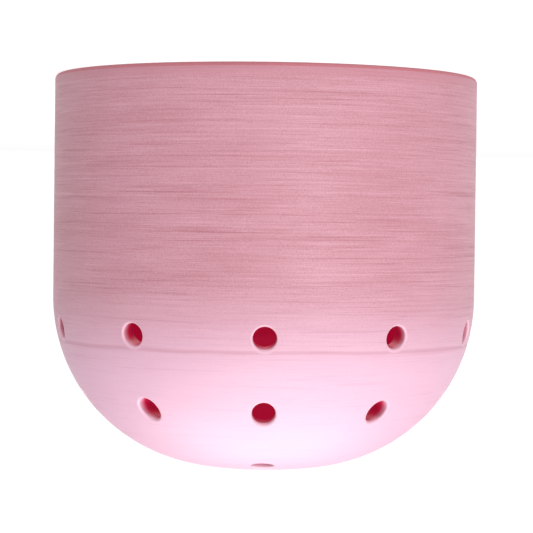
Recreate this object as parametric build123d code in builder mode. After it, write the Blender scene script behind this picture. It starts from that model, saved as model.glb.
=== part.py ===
from build123d import *
from dataclasses import dataclass
from math import asin, cos, degrees, radians, sin, tan
import os

# A wheel-thrown ceramic flower frog: a domed cap that stands on its open rim. The body is one
# piece of fired clay, pierced by rings of holes for flower stems. A coat of coloured slip covers
# it everywhere but on the rim that it stands on. The origin is the centre of the rim, on the
# surface that the frog stands on, and +Z is the axis that it was thrown on.

# Driving dimensions, in millimetres and degrees
outer_diameter = 100.0
overall_height = 92.0
wall_thickness = 4.0
shoulder_radius = 40.0
slip_thickness = 0.3
rim_edge_radius = 1.3
bare_rim_height = 0.9
stem_hole_diameter = 5.2
hole_edge_radius = 0.5
collar_clearance = 0.3

# How the rings of stem holes are laid out. A front gap is the angle from the front hole to the
# next one on each side; the other holes of the ring are spread evenly over what is left. A
# shoulder angle is how far up the shoulder's arc the holes open, from 0 at the straight wall
# to 90 at the crown. A bore angle is how steeply a bore climbs towards the outside, from level.
front_azimuth = -90.5
lower_ring_count = 10
lower_front_gap = 36.0
lower_shoulder_angle = 10.6
lower_bore_angle = 10.0
middle_ring_count = 9
middle_front_gap = 37.5
middle_shoulder_angle = 37.0
middle_bore_angle = 4.0
upper_ring_count = 5
upper_front_gap = 72.0
upper_shoulder_angle = 72.0
upper_bore_angle = 72.0

# Sizes that follow from the ones above
outer_radius = outer_diameter / 2
bore_radius = stem_hole_diameter / 2
crown_radius = outer_radius - shoulder_radius
shoulder_height = overall_height - shoulder_radius
rod_reach = 2 * wall_thickness + stem_hole_diameter


@dataclass(frozen=True)
class StemHoles:
    """Stem holes of one kind: a plane at each mouth, facing out along its bore.

    collar_radius is how far from the bore's axis the rounding of the hole's edges may reach.
    """

    name: str
    planes: list
    collar_radius: float


def ring_of_holes(name, count, front_gap, shoulder_angle, bore_angle):
    """Lay out one ring of equal stem holes around the throwing axis."""
    other_gap = (360 - 2 * front_gap) / (count - 2)
    climb = radians(bore_angle)
    mouth_angle = radians(shoulder_angle)
    mouth_radius = crown_radius + shoulder_radius * cos(mouth_angle)
    mouth_height = shoulder_height + shoulder_radius * sin(mouth_angle)
    planes = []
    for turn in [0] + [front_gap + number * other_gap for number in range(count - 1)]:
        azimuth = radians(front_azimuth + turn)
        mouth = (mouth_radius * cos(azimuth), mouth_radius * sin(azimuth), mouth_height)
        outward = (cos(azimuth) * cos(climb), sin(azimuth) * cos(climb), sin(climb))
        level = (-sin(azimuth), cos(azimuth), 0)
        planes.append(Plane(origin=mouth, x_dir=level, z_dir=outward))
    return StemHoles(name, planes, collar_radius(shoulder_angle - bore_angle))


def collar_radius(mouth_slant):
    """Give a radius around a bore that holds the rounding of both its edges.

    mouth_slant is the angle between the bore and the outside surface's normal. A straight bore
    leans further from the inside surface's normal, because that arc is smaller about the same
    centre. The rounding reaches furthest where the bore meets the surface most sharply.
    """
    offset_from_centre = shoulder_radius * sin(radians(abs(mouth_slant)))
    inside_slant = degrees(asin(offset_from_centre / (shoulder_radius - wall_thickness)))
    sharpest_edge = radians(90 - inside_slant)
    edge_reach = hole_edge_radius / tan(sharpest_edge / 2) * cos(radians(inside_slant))
    return bore_radius + edge_reach + collar_clearance


lower_ring = ring_of_holes(
    "lower_ring", lower_ring_count, lower_front_gap, lower_shoulder_angle, lower_bore_angle
)
middle_ring = ring_of_holes(
    "middle_ring", middle_ring_count, middle_front_gap, middle_shoulder_angle, middle_bore_angle
)
upper_ring = ring_of_holes(
    "upper_ring", upper_ring_count, upper_front_gap, upper_shoulder_angle, upper_bore_angle
)
crown_hole = StemHoles("crown_hole", [Plane.XY.offset(overall_height)], collar_radius(0))
stem_holes = [lower_ring, middle_ring, upper_ring, crown_hole]


def pierced_pot(inset):
    """Make the pierced pot with its surface lying inset below the finished one everywhere.

    The section runs up the outside from the rounded rim, round the shoulder, across the crown
    to the axis, and back down the inside. Its arcs share the finished surface's centres, the
    bores are wider by the inset, and their rounded edges are smaller by it.
    """
    outer_arc = shoulder_radius - inset
    inner_arc = shoulder_radius - wall_thickness + inset
    rim_arc = rim_edge_radius - inset
    inset_outside = outer_radius - inset
    inset_inside = outer_radius - wall_thickness + inset
    rim_outside = outer_radius - rim_edge_radius
    rim_inside = outer_radius - wall_thickness + rim_edge_radius
    outer_crown = shoulder_height + outer_arc
    inner_crown = shoulder_height + inner_arc
    bore = bore_radius + inset
    with BuildPart() as pot:
        with BuildSketch(Plane.XZ):
            with BuildLine():
                CenterArc((rim_outside, rim_edge_radius), rim_arc, -90, 90)
                Line((inset_outside, rim_edge_radius), (inset_outside, shoulder_height))
                CenterArc((crown_radius, shoulder_height), outer_arc, 0, 90)
                Line((crown_radius, outer_crown), (0, outer_crown))
                Line((0, outer_crown), (0, inner_crown))
                Line((0, inner_crown), (crown_radius, inner_crown))
                CenterArc((crown_radius, shoulder_height), inner_arc, 0, 90)
                Line((inset_inside, shoulder_height), (inset_inside, rim_edge_radius))
                CenterArc((rim_inside, rim_edge_radius), rim_arc, 180, 90)
                Line((rim_inside, inset), (rim_outside, inset))
            make_face()
        revolve(axis=Axis.Z)
        for holes in stem_holes:
            with BuildSketch(*holes.planes):
                Circle(bore)
            extrude(amount=rod_reach, both=True, mode=Mode.SUBTRACT)
        walls = pot.faces().filter_by(GeomType.CYLINDER)
        bores = walls.filter_by(lambda wall: abs(wall.radius - bore) < 0.01)
        fillet(bores.edges().filter_by(GeomType.LINE, reverse=True), hole_edge_radius - inset)
    return pot.part


# The finished shape, clay and slip together
with BuildPart() as finished_pot:
    add(pierced_pot(inset=0))

# The lowest part of the rim, where the clay is bare and so stands at the finished size
with BuildPart() as bare_rim:
    add(finished_pot.part)
    with BuildSketch():
        Circle(outer_radius)
    extrude(amount=bare_rim_height, mode=Mode.INTERSECT)

# The fired clay, all one piece
with BuildPart() as clay_body:
    add(pierced_pot(inset=slip_thickness))
    add(bare_rim.part)

# All the slip, which fills the space between the clay and the finished shape
with BuildPart() as slip_coat:
    add(finished_pot.part)
    add(clay_body.part, mode=Mode.SUBTRACT)

# The slip on the outside and on the inside, up to the collar around each hole
with BuildPart() as slip_skins:
    add(slip_coat.part)
    for holes in stem_holes:
        with BuildSketch(*holes.planes):
            Circle(holes.collar_radius)
        extrude(amount=rod_reach, both=True, mode=Mode.SUBTRACT)

with BuildPart() as inner_slip:
    add(slip_skins.solids().sort_by(SortBy.AREA)[0])

with BuildPart() as outer_slip:
    add(slip_skins.solids().sort_by(SortBy.AREA)[-1])

os.makedirs("parts", exist_ok=True)
clay_body.part.label = "clay_body"
export_step(clay_body.part, "parts/clay_body.step")
outer_slip.part.label = "outer_slip"
export_step(outer_slip.part, "parts/outer_slip.step")
inner_slip.part.label = "inner_slip"
export_step(inner_slip.part, "parts/inner_slip.step")

# The slip that lines each hole and wraps its rounded edges, one node for each kind of hole
for holes in stem_holes:
    with BuildPart() as lining:
        add(slip_coat.part)
        with BuildSketch(*holes.planes):
            Circle(holes.collar_radius)
        extrude(amount=rod_reach, both=True, mode=Mode.INTERSECT)
    lining.part.label = f"{holes.name}_slip"
    export_step(lining.part, f"parts/{holes.name}_slip.step")
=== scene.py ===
"""A wheel-thrown ceramic flower frog in its brushed pink slip, standing in a small studio.

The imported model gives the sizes. Over its plain clay stand the coats of slip, one on the outside
and one on the inside, and the slip that lines each stem hole. Lengths are in metres.
"""
import logging
import math
from dataclasses import dataclass, replace
from enum import Enum

import bpy
import numpy as np
from mathutils import Matrix, Vector


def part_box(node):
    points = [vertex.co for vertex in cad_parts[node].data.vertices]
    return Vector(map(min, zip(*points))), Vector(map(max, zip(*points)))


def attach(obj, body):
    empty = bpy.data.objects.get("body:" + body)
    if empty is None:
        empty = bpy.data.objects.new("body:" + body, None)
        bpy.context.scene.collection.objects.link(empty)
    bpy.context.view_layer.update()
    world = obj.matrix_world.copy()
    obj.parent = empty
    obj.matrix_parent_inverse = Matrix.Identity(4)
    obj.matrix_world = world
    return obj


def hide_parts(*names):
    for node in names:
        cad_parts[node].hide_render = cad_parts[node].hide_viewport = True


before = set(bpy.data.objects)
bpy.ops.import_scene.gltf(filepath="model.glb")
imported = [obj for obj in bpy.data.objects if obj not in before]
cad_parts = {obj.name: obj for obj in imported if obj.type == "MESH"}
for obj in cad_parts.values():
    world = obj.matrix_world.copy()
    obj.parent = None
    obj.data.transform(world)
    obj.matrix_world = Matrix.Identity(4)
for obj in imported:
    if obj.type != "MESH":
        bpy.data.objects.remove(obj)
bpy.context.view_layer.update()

log = logging.getLogger("flower_frog")
MM = 0.001
BODY = "root"
THROWING = "throwing"
# Each point's depth through the wall, which sets where the painted shade inside the holes and the
# pot comes in
WALL_DEPTH = "wall_depth"
# Each point's share of the painted highlight on a hole's outer lip
LIP_HIGHLIGHT_SHARE = "lip_highlight_share"
STEM_HOLE_RADIUS = 2.6 * MM
HOLE_EDGE_RADIUS = 0.5 * MM
COLLAR_CLEARANCE = 0.3 * MM
SCRIBED_RUN = 62.6 * MM

# Rows of faces through a hole's lining: round each lip, out to each collar and down the bore
LIP_ROWS = 11
FLANGE_ROWS = 2
BORE_ROWS = 7

# Rows round the rim's edge, points round a collar's outline, and steps to slide onto a surface
RIM_ROWS = 4
OUTLINE_POINTS = 72
MEET_STEPS = 12

Place = tuple[float, float, float]
Colour = tuple[float, float, float, float]


class Side(Enum):
    """The two sides of the pot's wall."""

    OUTSIDE = "outside"
    INSIDE = "inside"


@dataclass(frozen=True)
class PotShape:
    """The pot's surface, and the surfaces that lie under it inside the wall.

    A point is told by its azimuth about the throwing axis, by its run, which is how far up the
    outside it lies, and by its depth, which is how far it lies below the outside surface.
    """

    outer_radius: float
    height: float
    shoulder_radius: float = 40 * MM
    wall: float = 4 * MM
    slip: float = 0.3 * MM
    rim_radius: float = 1.3 * MM
    bare_rim: float = 0.9 * MM

    @property
    def crown_radius(self) -> float:
        """Radius of the flat crown, inside the shoulder."""
        return self.outer_radius - self.shoulder_radius

    @property
    def shoulder_height(self) -> float:
        """Height at which the straight wall turns into the shoulder."""
        return self.height - self.shoulder_radius

    @property
    def crown_run(self) -> float:
        """Run at which the shoulder ends and the flat crown starts."""
        return self.shoulder_height + self.shoulder_radius * math.pi / 2

    def side_depth(self, side: Side, inset: float) -> float:
        """Give the depth of a surface that lies an inset below one side of the wall."""
        return inset if side is Side.OUTSIDE else self.wall - inset

    def rim_run(self, inset: float) -> float:
        """Give the run where the slip ends, at the top of the bare clay.

        The rim's edge is a quarter round, so the angle below its middle is the arc sine of the
        drop over the arc's radius, and the run is that angle times the finished radius.
        """
        drop = self.rim_radius - self.bare_rim
        return self.rim_radius * (1 - math.asin(drop / (self.rim_radius - inset)))

    def point(self, azimuth: np.ndarray, run: np.ndarray, depth: np.ndarray) -> np.ndarray:
        """Place points on the wall, the shoulder, the crown or the rounded rim.

        Up the wall and over the shoulder, a point stands off from the line of centres by the
        shoulder's radius less its depth, in the direction that climbs from level to upright
        over the shoulder. Past the shoulder it moves in towards the axis. Below the wall it
        turns about the centre of the rim's rounding.

        Args:
            azimuth: Angles about the axis.
            run: Lengths up the outside.
            depth: Lengths below the outside surface.

        Returns:
            An array of the same shape with a last axis of three.
        """
        azimuth, run, depth = np.broadcast_arrays(azimuth, run, depth)
        climb = np.clip((run - self.shoulder_height) / self.shoulder_radius, 0, math.pi / 2)
        arc = self.shoulder_radius - depth
        radius = self.crown_radius + arc * np.cos(climb) - np.maximum(run - self.crown_run, 0)
        height = np.minimum(run, self.shoulder_height) + arc * np.sin(climb)
        outside = depth < self.wall / 2
        turn = (self.rim_radius - run) / self.rim_radius
        rim_arc = self.rim_radius - np.where(outside, depth, self.wall - depth)
        outer_rim = self.outer_radius - self.rim_radius + rim_arc * np.cos(turn)
        inner_rim = self.outer_radius - self.wall + self.rim_radius - rim_arc * np.cos(turn)
        on_rim = run < self.rim_radius
        radius = np.where(on_rim, np.where(outside, outer_rim, inner_rim), radius)
        height = np.where(on_rim, self.rim_radius - rim_arc * np.sin(turn), height)
        return np.stack((radius * np.cos(azimuth), radius * np.sin(azimuth), height), axis=-1)

    def stand_off(self, points: np.ndarray) -> tuple[np.ndarray, np.ndarray]:
        """Give each point's distance above the outside surface, and the direction away from it.

        The surface is a flat disc thickened by the shoulder's radius, so the distance is taken
        from the nearest point of that disc and of the wall's line of centres below it.

        Args:
            points: Points near the wall, with a last axis of three.

        Returns:
            The distances, negative inside the wall, and unit directions.
        """
        radius = np.hypot(points[..., 0], points[..., 1])
        out = np.maximum(radius - self.crown_radius, 0)
        up = np.maximum(points[..., 2] - self.shoulder_height, 0)
        length = np.hypot(out, up)
        level = points[..., :2] * (out / length / np.maximum(radius, 1e-9))[..., None]
        direction = np.concatenate((level, (up / length)[..., None]), axis=-1)
        return length - self.shoulder_radius, direction

    def locate(self, points: np.ndarray) -> tuple[np.ndarray, np.ndarray]:
        """Give the azimuth and the run of points in the wall."""
        radius = np.hypot(points[..., 0], points[..., 1])
        out = np.maximum(radius - self.crown_radius, 0)
        up = points[..., 2] - self.shoulder_height
        over_shoulder = self.shoulder_radius * np.arctan2(np.maximum(up, 0), out)
        run = self.shoulder_height + np.minimum(up, 0) + over_shoulder
        run = run + np.maximum(self.crown_radius - radius, 0)
        return np.arctan2(points[..., 1], points[..., 0]), run

    def meet(self, start: np.ndarray, direction: np.ndarray, depth: float) -> np.ndarray:
        """Slide points along one direction until they lie at a depth.

        Each step is the depth still to go, over how squarely the direction meets the surface.
        """
        points = start - direction * depth
        for _ in range(MEET_STEPS):
            distance, normal = self.stand_off(points)
            step = (distance + depth) / (normal @ direction)
            points = points - direction * step[..., None]
        return points


@dataclass(frozen=True)
class StemHole:
    """One stem hole: a straight round bore, and how far its slip reaches round its mouth."""

    mouth: np.ndarray
    outward: np.ndarray
    level: np.ndarray
    collar_radius: float
    radius: float = STEM_HOLE_RADIUS
    edge_radius: float = HOLE_EDGE_RADIUS

    @property
    def azimuth(self) -> float:
        """The azimuth of the mouth about the throwing axis."""
        return math.atan2(self.mouth[1], self.mouth[0])

    @property
    def axis_distance(self) -> float:
        """The distance from the throwing axis to the mouth."""
        return math.hypot(self.mouth[0], self.mouth[1])

    @property
    def rise(self) -> np.ndarray:
        """The direction across the bore that is square to the level one."""
        return np.cross(self.outward, self.level)

    def spoke(self, turn: np.ndarray) -> np.ndarray:
        """Give unit directions across the bore at angles turned from level towards the rise."""
        return np.cos(turn)[..., None] * self.level + np.sin(turn)[..., None] * self.rise

    def section(self, pot: PotShape, turn: np.ndarray, inset: float) -> np.ndarray:
        """Work out the lining's surface, from the collar outside to the collar inside.

        At each turn a ball of the edge's radius touches the bore and the surface. Its centre
        lies that radius outside the bore and that radius under the surface, and the rounded lip
        is the arc about the centre from the surface's normal to the bore's. A flange joins
        each lip to its collar, and a straight line joins the two lips down the bore.

        Args:
            pot: The pot that the hole pierces.
            turn: Angles about the bore.
            inset: How far below the finished surface the points lie.

        Returns:
            Points in rows along the section, with a column for each angle.
        """
        spoke = self.spoke(turn)
        ball = self.edge_radius - inset
        sides = []
        for side, away in ((Side.OUTSIDE, 1), (Side.INSIDE, -1)):
            start = self.mouth + spoke * (self.radius + self.edge_radius)
            centre = pot.meet(start, self.outward, pot.side_depth(side, self.edge_radius))
            normal = pot.stand_off(centre)[1] * away
            opening = np.arccos(np.clip(np.sum(normal * -spoke, axis=-1), -1, 1))
            share = np.linspace(0, 1, LIP_ROWS)[:, None]
            from_normal = np.sin((1 - share) * opening) / np.sin(opening)
            from_spoke = np.sin(share * opening) / np.sin(opening)
            lip = centre + ball * (from_normal[..., None] * normal - from_spoke[..., None] * spoke)
            rim = self.mouth + spoke * self.collar_radius
            collar = pot.meet(rim, self.outward, pot.side_depth(side, inset))
            share = np.linspace(0, 1, FLANGE_ROWS, endpoint=False)[:, None, None]
            sides.append(np.concatenate((collar + share * (lip[0] - collar), lip)))
        outer, inner = sides
        share = np.linspace(0, 1, BORE_ROWS + 1, endpoint=False)[1:, None, None]
        bore = outer[-1] + share * (inner[-1] - outer[-1])
        return np.concatenate((outer, bore, inner[::-1]))

    @staticmethod
    def lip_highlight_share(spread: float = 0.6) -> np.ndarray:
        """Give each row of the section its share of the painted highlight on the outer lip.

        It is a power of the sine over the lip, so it is all at the lip's middle and none at its
        ends. The rest of the section, with the inner lip, has none.

        Args:
            spread: The power; a smaller one spreads the share wider.

        Returns:
            A share for each row.
        """
        lip = np.sin(np.linspace(0, math.pi, LIP_ROWS)) ** spread
        half = np.concatenate((np.zeros(FLANGE_ROWS), lip))
        return np.concatenate((half, np.zeros(BORE_ROWS + len(half))))


def collar_radius(pot: PotShape, mouth_slant: float) -> float:
    """Give a radius about a bore that holds the rounding of both its edges.

    A straight bore leans further from the inside surface's normal than from the outside's,
    because that arc is smaller about the same centre. The rounding reaches furthest where the
    bore meets the surface most sharply.

    Args:
        pot: The pot that the bore pierces.
        mouth_slant: The angle between the bore and the outside surface's normal.

    Returns:
        The radius.
    """
    offset = pot.shoulder_radius * math.sin(abs(mouth_slant))
    inside_slant = math.asin(offset / (pot.shoulder_radius - pot.wall))
    sharpest_edge = math.pi / 2 - inside_slant
    reach = HOLE_EDGE_RADIUS / math.tan(sharpest_edge / 2) * math.cos(inside_slant)
    return STEM_HOLE_RADIUS + reach + COLLAR_CLEARANCE


@dataclass(frozen=True)
class HoleRing:
    """A ring of equal stem holes round the shoulder.

    The front gap is the angle from the front hole to the next one on each side, and the other
    holes are spread evenly over what is left. The mouths open at the shoulder angle, and the
    bores climb at the bore angle.
    """

    node: str
    piece: str
    count: int
    front_gap: float
    shoulder_angle: float
    bore_angle: float

    def holes(self, pot: PotShape, front: float) -> list[StemHole]:
        """Lay the holes out.

        Args:
            pot: The pot that they pierce.
            front: The azimuth of the front hole.

        Returns:
            The holes, in order round the ring.
        """
        climb = math.radians(self.bore_angle)
        run = pot.shoulder_height + pot.shoulder_radius * math.radians(self.shoulder_angle)
        front_gap = math.radians(self.front_gap)
        other_gap = (2 * math.pi - 2 * front_gap) / (self.count - 2)
        collar = collar_radius(pot, math.radians(self.shoulder_angle - self.bore_angle))
        made = []
        for turn in [0.0] + [front_gap + step * other_gap for step in range(self.count - 1)]:
            azimuth = front + turn
            mouth = pot.point(np.array(azimuth), np.array(run), np.array(0.0))
            out = np.array((math.cos(azimuth), math.sin(azimuth), 0.0))
            outward = out * math.cos(climb) + np.array((0.0, 0.0, math.sin(climb)))
            level = np.array((-math.sin(azimuth), math.cos(azimuth), 0.0))
            made.append(StemHole(mouth, outward, level, collar))
        return made


class SurfaceMesh:
    """Points and four-sided faces, gathered block by block and written to one mesh."""

    def __init__(self) -> None:
        """Start with nothing."""
        self.points: list[np.ndarray] = []
        self.lips: list[np.ndarray] = []
        self.count = 0
        self.faces: list[np.ndarray] = []
        self.smooth: list[np.ndarray] = []

    def add_points(self, points: np.ndarray, lip: np.ndarray | float = 0.0) -> np.ndarray:
        """Add a block of points, and give their numbers in the block's own shape.

        Args:
            points: The points, with a last axis of three.
            lip: How far each lies on the rounded lip of a hole, its share of the painted highlight
                there.

        Returns:
            The points' numbers.
        """
        shape = points.shape[:-1]
        size = int(np.prod(shape))
        self.points.append(points.reshape(-1, 3))
        self.lips.append(np.broadcast_to(lip, shape).reshape(-1))
        self.count += size
        return np.arange(self.count - size, self.count).reshape(shape)

    def add_grid(self, index: np.ndarray, keep: np.ndarray | None = None, flip: bool = False,
                 smooth: bool = True) -> None:
        """Add a face between each four neighbours of a grid of point numbers.

        Args:
            index: Point numbers in rows and columns.
            keep: Which faces to make, or None for all.
            flip: Whether the faces point the other way.
            smooth: Whether they are shaded as one curved surface.
        """
        corners = (index[:-1, :-1], index[:-1, 1:], index[1:, 1:], index[1:, :-1])
        quads = np.stack(corners, axis=-1)
        quads = quads.reshape(-1, 4) if keep is None else quads[keep]
        self.faces.append(quads[:, ::-1] if flip else quads)
        self.smooth.append(np.full(len(quads), smooth))

    def build(self, name: str, pot: PotShape) -> bpy.types.Object:
        """Write the mesh, less the points that no face uses, with its throwing coordinates.

        The throwing coordinates are a point's azimuth, laid round a circle as wide as the pot,
        and its run, all in millimetres, so a pattern on them follows the wheel and has no seam.

        Args:
            name: The piece's name.
            pot: The pot that it belongs to.

        Returns:
            The new piece.
        """
        faces = np.concatenate(self.faces)
        used, corners = np.unique(faces, return_inverse=True)
        points = np.concatenate(self.points)[used]
        corners = corners.reshape(-1)
        mesh = bpy.data.meshes.new(name)
        mesh.vertices.add(len(points))
        mesh.vertices.foreach_set("co", points.astype(np.float32).reshape(-1))
        mesh.loops.add(len(corners))
        mesh.loops.foreach_set("vertex_index", corners.astype(np.int32))
        mesh.polygons.add(len(faces))
        mesh.polygons.foreach_set("loop_start", np.arange(0, len(corners), 4, dtype=np.int32))
        mesh.update(calc_edges=True)
        self.shade(mesh)
        azimuth, run = pot.locate(points)
        laid = (pot.outer_radius * np.cos(azimuth), pot.outer_radius * np.sin(azimuth), run)
        depth = -pot.stand_off(points)[0] / pot.wall
        self.store(mesh, THROWING, "FLOAT_VECTOR", "vector", np.stack(laid, axis=-1) / MM)
        self.store(mesh, WALL_DEPTH, "FLOAT", "value", np.clip(depth, 0, 1))
        self.store(mesh, LIP_HIGHLIGHT_SHARE, "FLOAT", "value", np.concatenate(self.lips)[used])
        mesh.validate()
        piece = bpy.data.objects.new(name, mesh)
        bpy.context.scene.collection.objects.link(piece)
        return piece

    def shade(self, mesh: bpy.types.Mesh) -> None:
        """Shade the curved faces as one surface, and keep each flat face's edges sharp."""
        smooth = np.concatenate(self.smooth)
        mesh.polygons.foreach_set("use_smooth", smooth)
        edges = np.empty(len(mesh.loops), dtype=np.int32)
        mesh.loops.foreach_get("edge_index", edges)
        sharp = np.zeros(len(mesh.edges), dtype=bool)
        sharp[edges[np.repeat(~smooth, 4)]] = True
        mesh.edges.foreach_set("use_edge_sharp", sharp)

    @staticmethod
    def store(mesh: bpy.types.Mesh, name: str, kind: str, field: str,
              values: np.ndarray) -> None:
        """Store a value for each point as a named attribute.

        Args:
            mesh: The mesh to store it on.
            name: The attribute's name.
            kind: The attribute's type.
            field: The name that the type gives to its value.
            values: The values, in the order of the points.
        """
        attribute = mesh.attributes.new(name, kind, "POINT")
        attribute.data.foreach_set(field, values.astype(np.float32).reshape(-1))


@dataclass(frozen=True)
class ThrowingLines:
    """The low ridges and grooves that the thrower's fingers and the brush leave in the slip.

    Each wave has a pitch, a share of the depth and a number of starts. It runs round the pot as a
    shallow screw thread, so it closes on itself. Each bend has a size, a number of swings round
    the pot and a phase. The scribed line is one narrow groove above the lowest ring of holes.
    """

    waves: tuple[tuple[float, float, int], ...]
    depth: float
    scribed_depth: float = 0.0
    scribed_width: float = 0.4 * MM
    scribed_wander: float = 0.25 * MM
    bends: tuple[tuple[float, int, float], ...] = ((0.35 * MM, 2, 0.7), (0.2 * MM, 5, 2.1))
    swell_length: float = 5.1 * MM
    hole_margin: float = 2.5 * MM
    rim_margin: float = 2.0 * MM

    def relief(self, azimuth: np.ndarray, run: np.ndarray) -> np.ndarray:
        """Work out how far below its finished height the surface lies, never above it.

        The sum of raised cosines of the run is bent by slow waves round the pot, and each swells
        and fades as a raised sine along the way. The scribed groove is a bell curve about its own
        run, which wanders up and down once round the pot.

        Args:
            azimuth: Angles about the axis.
            run: Lengths up the outside.

        Returns:
            The depth at each point.
        """
        bend = sum(size * np.sin(swings * azimuth + phase) for size, swings, phase in self.bends)
        total = np.zeros(np.broadcast(azimuth, run).shape)
        for number, (pitch, share, starts) in enumerate(self.waves):
            thread = 2 * math.pi * (run + bend) / pitch + starts * azimuth + 1.9 * number
            along = run / self.swell_length + (number + 1) * azimuth + 2.3 * number
            swell = 0.5 + 0.5 * np.sin(along)
            total = total + share * (0.5 + 0.5 * np.cos(thread)) * swell
        middle = SCRIBED_RUN + self.scribed_wander * np.sin(azimuth + 0.4)
        groove = np.exp(-(((run - middle) / self.scribed_width) ** 2))
        return self.depth * total + self.scribed_depth * groove

    def fade(self, points: np.ndarray, holes: list[StemHole]) -> np.ndarray:
        """Give a share that falls to nothing at each hole's collar.

        It is the smooth step of the distance from the collar over the margin.

        Args:
            points: Points on the coat, with a last axis of three.
            holes: The holes that pierce it.

        Returns:
            The share at each point.
        """
        share = np.ones(points.shape[:-1])
        for hole in holes:
            offset = points - hole.mouth
            along = (offset @ hole.outward)[..., None] * hole.outward
            distance = np.linalg.norm(offset - along, axis=-1)
            near = np.clip((distance - hole.collar_radius) / self.hole_margin, 0, 1)
            share = np.minimum(share, near * near * (3 - 2 * near))
        return share


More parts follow.
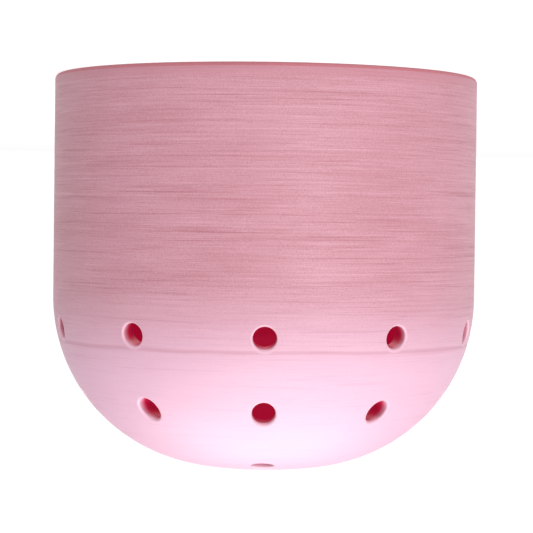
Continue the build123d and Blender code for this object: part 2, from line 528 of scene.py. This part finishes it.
@dataclass
class SlipCoat:
    """A coat of slip over one side of the pot: a closed thin shell with a round gap at each hole.

    Its grid has a column for each step of azimuth and a row for each step of run. Round each
    hole a block of the grid gives way to rings that pass from the block's outline to the
    collar's circle.
    """

    pot: PotShape
    holes: list[StemHole]
    crown_hole: StemHole
    front: float
    side: Side
    lines: ThrowingLines
    columns: int
    rows: int
    hole_margin: float = 3.0 * MM
    rings: int = 6

    def __post_init__(self) -> None:
        """Find each hole's block, and the angle about the bore of each point of its outline."""
        runs = self.row_runs(0.0)
        depth = self.pot.side_depth(self.side, 0.0)
        step = 2 * math.pi / self.columns
        self.blocks = [self.block(hole, runs, depth) for hole in self.holes]
        self.turns = []
        for hole, (columns, rows) in zip(self.holes, self.blocks):
            offset = self.wrapped(self.front + columns * step, hole.azimuth) * hole.axis_distance
            centre = self.pot.meet(hole.mouth[None, :], hole.outward, depth)
            self.turns.append(np.arctan2(runs[rows] - self.pot.locate(centre)[1], offset))

    def row_runs(self, inset: float) -> np.ndarray:
        """Give the runs of the rows, a few round the rim and the rest evenly up to the crown."""
        pot = self.pot
        top = pot.crown_run + pot.crown_radius - self.crown_hole.collar_radius
        rim = np.linspace(pot.rim_run(inset), pot.rim_radius, RIM_ROWS, endpoint=False)
        return np.concatenate((rim, np.linspace(pot.rim_radius, top, self.rows)))

    def azimuths(self) -> np.ndarray:
        """Give the azimuths of the columns, from the front hole round."""
        return self.front + np.arange(self.columns) * 2 * math.pi / self.columns

    def block(self, hole: StemHole, runs: np.ndarray,
              depth: float) -> tuple[np.ndarray, np.ndarray]:
        """Find the block of the grid that surrounds a hole.

        Args:
            hole: The hole.
            runs: The runs of the rows.
            depth: The depth of the surface.

        Returns:
            The column and the row of each point of the block's outline, in order round it from
            the lower corner where the columns start. Columns may pass the end of the grid.
        """
        turn = np.linspace(0, 2 * math.pi, OUTLINE_POINTS, endpoint=False)
        start = hole.mouth + hole.spoke(turn) * hole.collar_radius
        azimuth, run = self.pot.locate(self.pot.meet(start, hole.outward, depth))
        offset = self.wrapped(azimuth, hole.azimuth)
        step = 2 * math.pi / self.columns
        reach = (np.max(np.abs(offset)) + self.hole_margin / hole.axis_distance) / step
        centre = (hole.azimuth - self.front) / step
        first = int(math.floor(centre - reach))
        last = int(math.ceil(centre + reach))
        low = int(np.searchsorted(runs, run.min() - self.hole_margin)) - 1
        high = int(np.searchsorted(runs, run.max() + self.hole_margin))
        across = np.arange(first, last + 1)
        upright = np.arange(low, high + 1)
        columns = np.concatenate((across[:-1], np.full(high - low, last), across[:0:-1],
                                  np.full(high - low, first)))
        rows = np.concatenate((np.full(last - first, low), upright[:-1],
                               np.full(last - first, high), upright[:0:-1]))
        return columns, rows

    @staticmethod
    def wrapped(azimuth: np.ndarray, middle: float) -> np.ndarray:
        """Give angles from a middle one, between minus and plus half a turn."""
        return (azimuth - middle + math.pi) % (2 * math.pi) - math.pi

    def surface(self, azimuth: np.ndarray, run: np.ndarray, inset: float) -> np.ndarray:
        """Place points on the finished surface with its throwing lines, or on the coat's back.

        Args:
            azimuth: Angles about the axis.
            run: Lengths up the outside.
            inset: How far below the finished surface they lie.

        Returns:
            The points, with a last axis of three.
        """
        depth = self.pot.side_depth(self.side, inset)
        plain = self.pot.point(azimuth, run, depth)
        if inset > 0:
            return plain
        share = self.lines.fade(plain, self.holes + [self.crown_hole])
        share = share * np.clip((run - self.pot.rim_radius) / self.lines.rim_margin, 0, 1)
        relief = self.lines.relief(azimuth, run) * share
        away = 1 if self.side is Side.OUTSIDE else -1
        return self.pot.point(azimuth, run, depth + away * relief)

    def skin(self, mesh: SurfaceMesh, inset: float, flip: bool) -> list[np.ndarray]:
        """Add the front or the back of the coat.

        Args:
            mesh: The mesh to add to.
            inset: How far below the finished surface it lies.
            flip: Whether its faces point into the wall.

        Returns:
            The loops of points along its lower edge, its upper edge and each collar.
        """
        runs = self.row_runs(inset)
        azimuths = self.azimuths()
        depth = self.pot.side_depth(self.side, inset)
        index = mesh.add_points(self.surface(azimuths[None, :], runs[:, None], inset))
        keep = np.ones((len(runs) - 1, self.columns), dtype=bool)
        loops = [index[0], index[-1][::-1]]
        step = 2 * math.pi / self.columns
        for hole, (columns, rows), turn in zip(self.holes, self.blocks, self.turns):
            inside = np.arange(columns.min(), columns.max()) % self.columns
            keep[rows.min():rows.max(), inside] = False
            offset = self.wrapped(self.front + columns * step, hole.azimuth)
            start = hole.mouth + hole.spoke(turn) * hole.collar_radius
            collar = self.pot.meet(start, hole.outward, depth)
            collar_azimuth, collar_run = self.pot.locate(collar)
            collar_offset = self.wrapped(collar_azimuth, hole.azimuth)
            share = np.linspace(0, 1, self.rings, endpoint=False)[:, None]
            azimuth = hole.azimuth + collar_offset + share * (offset - collar_offset)
            run = collar_run + share * (runs[rows] - collar_run)
            rings = mesh.add_points(self.surface(azimuth, run, inset))
            outline = index[rows, columns % self.columns]
            net = np.concatenate((rings, outline[None, :]))
            net = np.concatenate((net, net[:, :1]), axis=1)
            mesh.add_grid(net, flip=not flip)
            loops.append(rings[0][::-1])
        closed = np.concatenate((index, index[:, :1]), axis=1)
        mesh.add_grid(closed, keep, flip=flip)
        return loops

    def build(self, name: str) -> bpy.types.Object:
        """Make the closed shell: its front, its back, and the narrow edges between them."""
        mesh = SurfaceMesh()
        outside = self.side is Side.OUTSIDE
        fronts = self.skin(mesh, 0.0, flip=not outside)
        backs = self.skin(mesh, self.pot.slip, flip=outside)
        for front_loop, back_loop in zip(fronts, backs):
            edge = np.stack((back_loop, front_loop))
            edge = np.concatenate((edge, edge[:, :1]), axis=1)
            mesh.add_grid(edge, flip=not outside, smooth=False)
        return mesh.build(name, self.pot)


@dataclass
class HoleLinings:
    """The slip inside one kind of stem hole, wrapped round the hole's two rounded edges."""

    pot: PotShape
    holes: list[StemHole]
    turns: list[np.ndarray]

    def build(self, name: str) -> bpy.types.Object:
        """Make one closed ring for each hole.

        Each is the section outside, carried round the bore, and the same section one slip's
        thickness into the clay, taken back the other way.
        """
        mesh = SurfaceMesh()
        for hole, turn in zip(self.holes, self.turns):
            front = hole.section(self.pot, turn, 0.0)
            back = hole.section(self.pot, turn, self.pot.slip)
            lip = np.concatenate((hole.lip_highlight_share(), np.zeros(len(back))))[:, None]
            index = mesh.add_points(np.concatenate((front, back[::-1])), lip)
            index = np.concatenate((index, index[:, :1]), axis=1)
            half = len(front)
            mesh.add_grid(index[:half])
            mesh.add_grid(index[half:])
            mesh.add_grid(index[half - 1:half + 1], smooth=False)
            mesh.add_grid(np.stack((index[-1], index[0])), smooth=False)
        return mesh.build(name, self.pot)


class Nodes:
    """A short way to lay out a node tree."""

    def __init__(self, tree: bpy.types.NodeTree) -> None:
        """Take over a tree and empty it."""
        self.tree = tree
        tree.nodes.clear()

    def add(self, kind: str, inputs: dict | None = None, **settings: object) -> bpy.types.Node:
        """Add a node.

        Args:
            kind: The node's type.
            inputs: Values or output sockets for its inputs, by name or number.
            settings: Properties of the node.

        Returns:
            The node.
        """
        node = self.tree.nodes.new(kind)
        for name, value in settings.items():
            setattr(node, name, value)
        for socket, value in (inputs or {}).items():
            if isinstance(value, bpy.types.NodeSocket):
                self.tree.links.new(value, node.inputs[socket])
            else:
                node.inputs[socket].default_value = value
        return node

    def math(self, operation: str, first: object, second: object = 0.0) -> bpy.types.NodeSocket:
        """Combine two numbers."""
        return self.add("ShaderNodeMath", {0: first, 1: second}, operation=operation).outputs[0]

    def mix(self, share: object, first: object, second: object) -> bpy.types.NodeSocket:
        """Blend two colours by a share."""
        node = self.add("ShaderNodeMix", {0: share, 6: first, 7: second}, data_type="RGBA")
        return node.outputs[2]

    def noise(self, vector: bpy.types.NodeSocket, stretch: Place, detail: float,
              roughness: float) -> bpy.types.NodeSocket:
        """Add noise whose features are stretched by different amounts along each axis.

        Args:
            vector: The coordinates that it lies on.
            stretch: Features in a unit of length, along each axis.
            detail: How many finer layers it has.
            roughness: How strong the finer layers are.

        Returns:
            The noise, about a half.
        """
        mapping = self.add("ShaderNodeMapping", {"Vector": vector, "Scale": stretch})
        texture = self.add("ShaderNodeTexNoise", {
            "Vector": mapping.outputs[0], "Scale": 1.0, "Detail": detail, "Roughness": roughness})
        return texture.outputs["Fac"]

    def ramp(self, value: object, low: float, high: float) -> bpy.types.NodeSocket:
        """Stretch a range of a value smoothly over nought to one."""
        node = self.add("ShaderNodeMapRange", {"Value": value, "From Min": low, "From Max": high},
                        interpolation_type="SMOOTHSTEP")
        return node.outputs[0]


@dataclass(frozen=True)
class Streaks:
    """One layer of noise in the slip, and the darker and paler marks that it leaves.

    The stretch is in features to the millimetre, across the pot twice and then up it. Each mark
    is the range of the noise over which it comes in, and its strength.
    """

    stretch: Place
    detail: float
    roughness: float
    dark: Place
    pale: Place


BRUSH_LINES = Streaks((0.025, 0.025, 1.9), 5.0, 0.7, (0.48, 0.30, 0.8), (0.52, 0.70, 0.7))
BRUSH_HAIRS = Streaks((0.09, 0.09, 5.5), 3.0, 0.6, (0.46, 0.26, 0.6), (0.54, 0.74, 0.6))
SLIP_GRAIN = Streaks((3.2, 3.2, 3.2), 1.0, 0.5, (0.50, 0.20, 0.4), (0.50, 0.80, 0.4))


@dataclass(frozen=True)
class BrushedSlip:
    """Pink slip brushed on at the wheel, with fine streaks that run round the pot.

    The body colour carries broad pale patches, darker brush lines and paler, more lavender ones.
    It turns paler towards the dome over a range of the run, partly a paler slip and partly painted
    light from the lamps above. By the rim it turns darker, a painted shade where the rim meets the
    floor. Over a range of the wall's depth it turns to a dark crimson, painted shade for the
    inside of the holes and of the pot. The outer lip of each hole turns paler, a painted
    highlight. Runs and widths are in millimetres.
    """

    name: str
    body: Colour
    dark_line: Colour
    pale_line: Colour
    # On the dome: partly a paler slip, partly painted light from the lamps above
    dome: Colour
    # Painted shade by the rim, where the pot stands on the floor
    rim: Colour
    # Painted highlight on the outer lip of each hole
    lip: Colour
    # Painted shade: a dark crimson for the inside of the holes and of the pot
    hollow_shade: Colour
    dome_runs: tuple[float, float] = (44.0, 71.0)
    rim_shade_runs: tuple[float, float] = (3.6, 1.6)
    rim_shade_strength: float = 0.55
    # The wall depths over which the painted shade comes in
    hollow_shade_depths: tuple[float, float] = (0.02, 0.55)
    patch_stretch: Place = (0.03, 0.03, 0.13)
    patch_strength: float = 0.3
    dome_calm: float = 0.75
    scribed_strength: float = 0.0
    scribed_wander: float = 1.6
    scribed_widths: tuple[float, float] = (0.75, 0.1)
    line_height: float = 0.6
    hair_height: float = 0.4
    roughness: float = 0.5
    specular: float = 0.5
    bump: float = 0.02 * MM

    def material(self) -> bpy.types.Material:
        """Build the node material on the piece's throwing coordinates."""
        made = bpy.data.materials.new(self.name)
        made.use_nodes = True
        nodes = Nodes(made.node_tree)
        wheel = nodes.add("ShaderNodeAttribute", attribute_name=THROWING).outputs["Vector"]
        depth = nodes.add("ShaderNodeAttribute", attribute_name=WALL_DEPTH).outputs["Fac"]
        run = nodes.add("ShaderNodeSeparateXYZ", {0: wheel}).outputs[2]
        broad = nodes.noise(wheel, self.patch_stretch, 3.0, 0.5)
        lines, hairs, grain = [
            nodes.noise(wheel, layer.stretch, layer.detail, layer.roughness)
            for layer in (BRUSH_LINES, BRUSH_HAIRS, SLIP_GRAIN)]
        # Paler towards the dome, with the streaks fading into it: partly a paler slip, partly
        # painted light from above
        over_dome = nodes.ramp(run, *self.dome_runs)
        body = nodes.mix(over_dome, self.body, self.dome)
        fainter = nodes.math("MULTIPLY", over_dome, self.dome_calm)
        dark_line = nodes.mix(fainter, self.dark_line, self.dome)
        pale_line = nodes.mix(fainter, self.pale_line, self.dome)
        patches = nodes.math("MULTIPLY", nodes.ramp(broad, 0.35, 0.65), self.patch_strength)
        colour = nodes.mix(patches, body, pale_line)
        for value, layer in ((lines, BRUSH_LINES), (hairs, BRUSH_HAIRS), (grain, SLIP_GRAIN)):
            for (low, high, strength), tint in ((layer.dark, dark_line), (layer.pale, pale_line)):
                share = nodes.math("MULTIPLY", nodes.ramp(value, low, high), strength)
                colour = nodes.mix(share, colour, tint)
        colour = nodes.mix(self.scribed_line(nodes, run, broad), colour, self.dark_line)
        # Painted shade: darker by the rim, where the pot meets the floor
        rim_shade_share = nodes.math("MULTIPLY", nodes.ramp(run, *self.rim_shade_runs), self.rim_shade_strength)
        colour = nodes.mix(rim_shade_share, colour, self.rim)
        # Painted shade: the colour turns dark crimson with the wall's depth, down each bore and
        # inside the pot
        colour = nodes.mix(nodes.ramp(depth, *self.hollow_shade_depths), colour, self.hollow_shade)
        # Painted highlight: the outer lip of each hole turns paler
        lip = nodes.add("ShaderNodeAttribute", attribute_name=LIP_HIGHLIGHT_SHARE).outputs["Fac"]
        colour = nodes.mix(lip, colour, self.lip)
        height = nodes.math("ADD", nodes.math("MULTIPLY", lines, self.line_height),
                            nodes.math("MULTIPLY", hairs, self.hair_height))
        bump = nodes.add("ShaderNodeBump", {"Height": height, "Distance": self.bump,
                                            "Strength": 1.0})
        shader = nodes.add("ShaderNodeBsdfPrincipled", {
            "Base Color": colour, "Roughness": self.roughness, "IOR": 1.45,
            "Specular IOR Level": self.specular, "Normal": bump.outputs[0]})
        nodes.add("ShaderNodeOutputMaterial", {"Surface": shader.outputs[0]})
        return made

    def scribed_line(self, nodes: Nodes, run: bpy.types.NodeSocket,
                     broad: bpy.types.NodeSocket) -> bpy.types.NodeSocket:
        """Find the share of scribed line, which is all at its middle and falls off beside it.

        The middle wanders either side of its run with the broad noise.

        Args:
            nodes: The material's nodes.
            run: How far up the outside the surface lies.
            broad: The broad noise.

        Returns:
            The share.
        """
        start = SCRIBED_RUN / MM - self.scribed_wander / 2
        middle = nodes.math("ADD", nodes.math("MULTIPLY", broad, self.scribed_wander), start)
        beside = nodes.math("ABSOLUTE", nodes.math("SUBTRACT", run, middle))
        share = nodes.ramp(beside, *self.scribed_widths)
        return nodes.math("MULTIPLY", share, self.scribed_strength)


@dataclass(frozen=True)
class BareClay:
    """Fired clay without slip, with a fine grain of specks and soft patches of their colour."""

    name: str
    body: Colour
    speck: Colour
    grain_scale: float = 2500.0
    patch_scale: float = 90.0
    patch_strength: float = 0.25
    roughness: float = 0.85
    bump: float = 0.03 * MM

    def material(self) -> bpy.types.Material:
        """Build the node material on object coordinates."""
        made = bpy.data.materials.new(self.name)
        made.use_nodes = True
        nodes = Nodes(made.node_tree)
        place = nodes.add("ShaderNodeTexCoord").outputs["Object"]
        grain = nodes.noise(place, (self.grain_scale,) * 3, 3.0, 0.6)
        patch = nodes.noise(place, (self.patch_scale,) * 3, 2.0, 0.5)
        colour = nodes.mix(nodes.ramp(grain, 0.6, 0.75), self.body, self.speck)
        patches = nodes.math("MULTIPLY", patch, self.patch_strength)
        colour = nodes.mix(patches, colour, self.speck)
        bump = nodes.add("ShaderNodeBump", {"Height": grain, "Distance": self.bump})
        shader = nodes.add("ShaderNodeBsdfPrincipled", {
            "Base Color": colour, "Roughness": self.roughness, "Normal": bump.outputs[0]})
        nodes.add("ShaderNodeOutputMaterial", {"Surface": shader.outputs[0]})
        return made


# A dark crimson painted as the shade inside the holes and the pot, in place of the pink slip there
HOLLOW_SHADE_CRIMSON = (0.46, 0.004, 0.05, 1.0)
OUTER_SLIP = BrushedSlip(
    name="outer_pink_slip",
    body=(0.405, 0.18, 0.22, 1.0),
    dark_line=(0.31, 0.10, 0.13, 1.0),
    pale_line=(0.52, 0.275, 0.335, 1.0),
    # Paler dome colour: partly a paler slip, partly painted light from above
    dome=(0.57, 0.35, 0.45, 1.0),
    # Darker rim colour: painted shade where the rim meets the floor
    rim=(0.40, 0.16, 0.20, 1.0),
    # Paler lip colour: a painted highlight on each hole's outer lip
    lip=(0.60, 0.35, 0.43, 1.0),
    hollow_shade=HOLLOW_SHADE_CRIMSON,
    scribed_strength=0.3,
)
HOLE_SLIP = replace(OUTER_SLIP, name="hole_pink_slip", scribed_strength=0.0)
# The inner coat is painted shade all over: dark crimson colours stand in for the pink slip in the
# shade inside the pot
INNER_SLIP_IN_SHADE = BrushedSlip(
    name="inner_pink_slip",
    body=(0.46, 0.005, 0.055, 1.0),
    dark_line=(0.40, 0.003, 0.04, 1.0),
    pale_line=(0.50, 0.02, 0.09, 1.0),
    dome=HOLLOW_SHADE_CRIMSON,
    rim=(0.46, 0.08, 0.14, 1.0),
    lip=HOLLOW_SHADE_CRIMSON,
    hollow_shade=HOLLOW_SHADE_CRIMSON,
    specular=0.05,
)
CLAY = BareClay(
    name="bare_clay",
    body=(0.42, 0.14, 0.17, 1.0),
    speck=(0.30, 0.09, 0.10, 1.0),
)


@dataclass
class FlowerFrog:
    """The whole flower frog: its clay body as the model has it, and its slip."""

    front_azimuth: float = -90.5
    outer_columns: int = 240
    outer_rows: int = 176
    inner_columns: int = 120
    inner_rows: int = 90

    def __post_init__(self) -> None:
        """Read the pot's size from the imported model, and lay the holes out."""
        low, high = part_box("outer_slip")
        self.pot = PotShape(outer_radius=(high.x - low.x) / 2, height=high.z)
        self.front = math.radians(self.front_azimuth)
        self.rings = [
            HoleRing("lower_ring_slip", "lower_ring_linings", count=10, front_gap=36.0,
                     shoulder_angle=10.6, bore_angle=10.0),
            HoleRing("middle_ring_slip", "middle_ring_linings", count=9, front_gap=37.5,
                     shoulder_angle=37.0, bore_angle=4.0),
            HoleRing("upper_ring_slip", "upper_ring_linings", count=5, front_gap=72.0,
                     shoulder_angle=72.0, bore_angle=72.0),
        ]
        self.crown_hole = StemHole(np.array((0.0, 0.0, self.pot.height)),
                                   np.array((0.0, 0.0, 1.0)), np.array((1.0, 0.0, 0.0)),
                                   collar_radius(self.pot, 0.0))

    def finish_piece(self, piece: bpy.types.Object, node: str,
                     material: bpy.types.Material) -> None:
        """Put a piece in its node's place, on the body, with its finish.

        Args:
            piece: The piece.
            node: The node that it takes the place of.
            material: The finish.
        """
        piece.data.materials.append(material)
        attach(piece, BODY)
        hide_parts(node)
        log.info("%s: %d faces, in place of %s", piece.name, len(piece.data.polygons), node)

    def build(self) -> None:
        """Make the two coats and the linings, and dress the clay."""
        holes_by_ring = [ring.holes(self.pot, self.front) for ring in self.rings]
        holes = [hole for ring_holes in holes_by_ring for hole in ring_holes]
        outer = SlipCoat(
            self.pot, holes, self.crown_hole, self.front, Side.OUTSIDE,
            ThrowingLines(waves=((2.9 * MM, 0.45, 1), (1.9 * MM, 0.35, -1), (4.7 * MM, 0.5, 2)),
                          depth=0.035 * MM, scribed_depth=0.05 * MM),
            self.outer_columns, self.outer_rows)
        inner = SlipCoat(
            self.pot, holes, self.crown_hole, self.front, Side.INSIDE,
            ThrowingLines(waves=((6.1 * MM, 0.6, 1), (3.7 * MM, 0.4, 1)), depth=0.14 * MM),
            self.inner_columns, self.inner_rows)
        self.finish_piece(outer.build("outer_slip_coat"), "outer_slip",
                          OUTER_SLIP.material())
        self.finish_piece(inner.build("inner_slip_coat"), "inner_slip",
                          INNER_SLIP_IN_SHADE.material())
        self.line_holes(holes_by_ring, outer)
        self.dress_clay()

    def line_holes(self, holes_by_ring: list[list[StemHole]], outer: SlipCoat) -> None:
        """Make each ring's linings and the crown hole's, to meet the outer coat point for point.

        Args:
            holes_by_ring: Each ring's holes.
            outer: The coat on the outside.
        """
        finish = HOLE_SLIP.material()
        done = 0
        for ring, ring_holes in zip(self.rings, holes_by_ring):
            ring_turns = outer.turns[done:done + len(ring_holes)]
            done += len(ring_holes)
            linings = HoleLinings(self.pot, ring_holes, ring_turns).build(ring.piece)
            self.finish_piece(linings, ring.node, finish)
        crown = HoleLinings(self.pot, [self.crown_hole], [outer.azimuths()])
        self.finish_piece(crown.build("crown_hole_lining"), "crown_hole_slip",
                          finish)

    def dress_clay(self) -> None:
        """Give the clay body its finish in every material slot."""
        material = CLAY.material()
        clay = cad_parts["clay_body"]
        for part in (clay if isinstance(clay, (list, tuple)) else [clay]):
            if not part.material_slots:
                part.data.materials.append(material)
            for slot in part.material_slots:
                slot.material = material


@dataclass(frozen=True)
class Lamp:
    """One round soft lamp: where it hangs, the point that it faces, its diameter and its watts."""

    name: str
    place: Place
    aim: Place
    size: float
    power: float

    def hang(self) -> None:
        """Hang the lamp in the studio, out of the camera's sight."""
        light = bpy.data.lights.new(self.name, "AREA")
        light.shape = "DISK"
        light.size = self.size
        light.energy = self.power
        lamp = bpy.data.objects.new(self.name, light)
        lamp.location = self.place
        direction = Vector(self.aim) - Vector(self.place)
        lamp.rotation_euler = direction.to_track_quat("-Z", "Y").to_euler()
        lamp.visible_camera = False
        bpy.context.scene.collection.objects.link(lamp)


LAMPS = (
    Lamp("overhead", (0.0, 0.0, 0.30), (0.0, 0.0, 0.0), size=0.3, power=0.85),
    Lamp("front_overhead", (0.0, -0.35, 0.45), (0.0, 0.0, 0.06), size=0.4, power=1.1),
    Lamp("side_overhead", (-0.45, -0.25, 0.45), (0.0, 0.0, 0.06), size=0.4, power=0.8),
    Lamp("key", (-0.37, -0.79, 0.25), (0.0, 0.0, 0.05), size=0.5, power=3.5),
    Lamp("inside", (0.0, 0.0, 0.003), (0.0, 0.0, 1.0), size=0.06, power=0.025),
)


@dataclass
class Studio:
    """The pale floor, the soft light and the camera."""

    floor_radius: float = 0.55
    floor_points: int = 96
    floor_colour: Colour = (0.35, 0.35, 0.35, 1.0)
    floor_glow: float = 0.82
    horizon: Colour = (1.06, 1.06, 1.06, 1.0)
    sky: Colour = (0.2, 0.2, 0.2, 1.0)
    sky_heights: tuple[float, float] = (0.2, 0.4)
    camera_distance: float = 476 * MM
    camera_height: float = 34.3 * MM
    aim_height: float = 44.9 * MM
    aim_side: float = -0.6 * MM
    roll: float = 180.7
    lens: float = 134.7

    def build(self) -> None:
        """Set everything up."""
        self.lay_floor()
        self.light_room()
        self.place_camera()
        bpy.context.scene.view_settings.view_transform = "Standard"

    def lay_floor(self) -> None:
        """Lay a round pale floor that glows a little, so the frog casts only a faint shadow."""
        turn = np.linspace(0, 2 * math.pi, self.floor_points, endpoint=False)
        rim = np.stack((np.cos(turn), np.sin(turn), 0 * turn), axis=-1) * self.floor_radius
        mesh = bpy.data.meshes.new("studio_floor")
        mesh.from_pydata(rim.tolist(), [], [list(range(self.floor_points))])
        floor = bpy.data.objects.new("studio_floor", mesh)
        bpy.context.scene.collection.objects.link(floor)
        made = bpy.data.materials.new("pale_floor")
        made.use_nodes = True
        nodes = Nodes(made.node_tree)
        shader = nodes.add("ShaderNodeBsdfPrincipled", {
            "Base Color": self.floor_colour, "Roughness": 0.9, "Specular IOR Level": 0.0,
            "Emission Color": (1.0, 1.0, 1.0, 1.0), "Emission Strength": self.floor_glow})
        nodes.add("ShaderNodeOutputMaterial", {"Surface": shader.outputs[0]})
        mesh.materials.append(made)

    def light_room(self) -> None:
        """Light the room: a white horizon under a dimmer sky, and soft lamps."""
        world = bpy.data.worlds.new("studio_room")
        bpy.context.scene.world = world
        world.use_nodes = True
        nodes = Nodes(world.node_tree)
        ray = nodes.add("ShaderNodeTexCoord").outputs["Generated"]
        height = nodes.add("ShaderNodeSeparateXYZ", {0: ray}).outputs[2]
        colour = nodes.mix(nodes.ramp(height, *self.sky_heights), self.horizon, self.sky)
        background = nodes.add("ShaderNodeBackground", {"Color": colour, "Strength": 1.0})
        nodes.add("ShaderNodeOutputWorld", {"Surface": background.outputs[0]})
        for lamp in LAMPS:
            lamp.hang()

    def place_camera(self) -> None:
        """Stand the camera in front, turned over, so that it sees the frog dome down."""
        camera = bpy.data.cameras.new("camera")
        camera.sensor_width = 36.0
        camera.lens = self.lens
        camera.clip_start = 0.01
        holder = bpy.data.objects.new("camera", camera)
        bpy.context.scene.collection.objects.link(holder)
        place = Vector((self.aim_side, -self.camera_distance, self.camera_height))
        aim = Vector((self.aim_side, 0.0, self.aim_height))
        facing = (aim - place).to_track_quat("-Z", "Y").to_matrix()
        turned = facing @ Matrix.Rotation(math.radians(self.roll), 3, "Z")
        holder.matrix_world = Matrix.Translation(place) @ turned.to_4x4()
        bpy.context.scene.camera = holder


def main() -> None:
    """Build the flower frog, then the studio around it, logging the faces of each piece of slip.
    """
    logging.basicConfig(level=logging.INFO, format="%(message)s")
    frog = FlowerFrog()
    frog.build()
    Studio().build()


if __name__ == "__main__":
    main()
